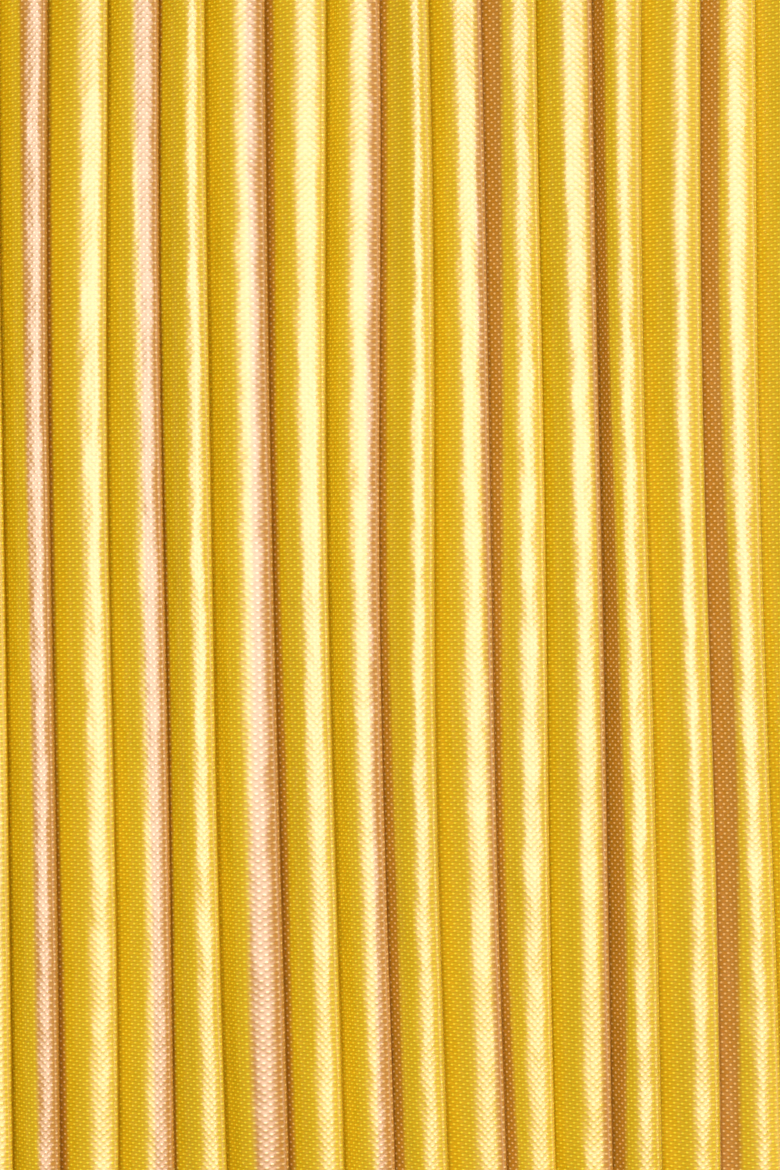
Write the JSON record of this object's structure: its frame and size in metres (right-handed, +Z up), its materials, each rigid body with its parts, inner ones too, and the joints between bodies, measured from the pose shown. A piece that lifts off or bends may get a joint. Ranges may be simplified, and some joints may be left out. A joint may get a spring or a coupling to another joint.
{
  "type": "martial arts belt",
  "caption": "Ready-tied pleated satin sash: padded oval waistband with a touch-fastened back flap, sewn front knot and hinged pleated tails ending in fringe.",
  "frame": {"origin": "centre of the waist opening, half-way up the band", "axes": "+Z up along the wearer's body, -Y towards the front where the knot is, +X to the right seen from the front"},
  "size_m": [0.307, 0.2878, 0.4606],
  "materials": {
    "sash_satin": "pleated satin with lengthwise yellow and copper stripes",
    "stiffener": "stiff woven interlining",
    "lining": "plain golden satin",
    "padding": "felted wadding",
    "loop_tape": "soft pile of loops",
    "hook_tape": "nylon tape with rows of hooks",
    "thread": "polyester thread",
    "trim": "woven heading braid",
    "fringe": "twisted rayon strands"
  },
  "bodies": {
    "waistband": {"waistband_face": "sash_satin", "waistband_interlining": "stiffener", "waistband_lining": "lining", "underlap_end_binding": "lining", "loop_tape": "loop_tape", "knot_wrap": "sash_satin", "knot_core": "padding", "knot_patch": "lining", "knot_bar_tacks": "thread"},
    "flap": {"flap_face": "sash_satin", "flap_interlining": "stiffener", "flap_lining": "lining", "flap_end_binding": "lining", "hook_tape": "hook_tape"},
    "left_neck": {"left_tail_neck": "sash_satin"},
    "left_tail": {"left_tail_face": "sash_satin", "left_tail_interlining": "stiffener", "left_tail_lining": "lining", "left_fringe_heading": "trim"},
    "left_fringe_body": {"left_fringe": "fringe"},
    "right_neck": {"right_tail_neck": "sash_satin"},
    "right_tail": {"right_tail_face": "sash_satin", "right_tail_interlining": "stiffener", "right_tail_lining": "lining", "right_fringe_heading": "trim"},
    "right_fringe_body": {"right_fringe": "fringe"}
  },
  "joints": [
    {"name": "flap_open", "type": "hinge", "parent": "waistband", "child": "flap", "pos_m": [0.05388, 0.11675, 0], "axis": [0, 0, -1], "range_deg": [0, 110]},
    {"name": "left_tail_sway", "type": "hinge", "parent": "waistband", "child": "left_neck", "pos_m": [-0.014, -0.1305, -0.019], "axis": [0, 1, 0], "range_deg": [-1, 20]},
    {"name": "left_tail_swing", "type": "hinge", "parent": "left_neck", "child": "left_tail", "pos_m": [-0.014, -0.1305, -0.044], "axis": [-1, 0, 0], "range_deg": [-10, 80]},
    {"name": "left_fringe_swing", "type": "hinge", "parent": "left_tail", "child": "left_fringe_body", "pos_m": [-0.0533, -0.1305, -0.3545], "axis": [-1, 0, 0], "range_deg": [-60, 60]},
    {"name": "right_tail_sway", "type": "hinge", "parent": "waistband", "child": "right_neck", "pos_m": [0.014, -0.1305, -0.019], "axis": [0, -1, 0], "range_deg": [-1, 20]},
    {"name": "right_tail_swing", "type": "hinge", "parent": "right_neck", "child": "right_tail", "pos_m": [0.014, -0.1305, -0.044], "axis": [-1, 0, 0], "range_deg": [-10, 80]},
    {"name": "right_fringe_swing", "type": "hinge", "parent": "right_tail", "child": "right_fringe_body", "pos_m": [0.0533, -0.1305, -0.3545], "axis": [-1, 0, 0], "range_deg": [-60, 60]}
  ]
}
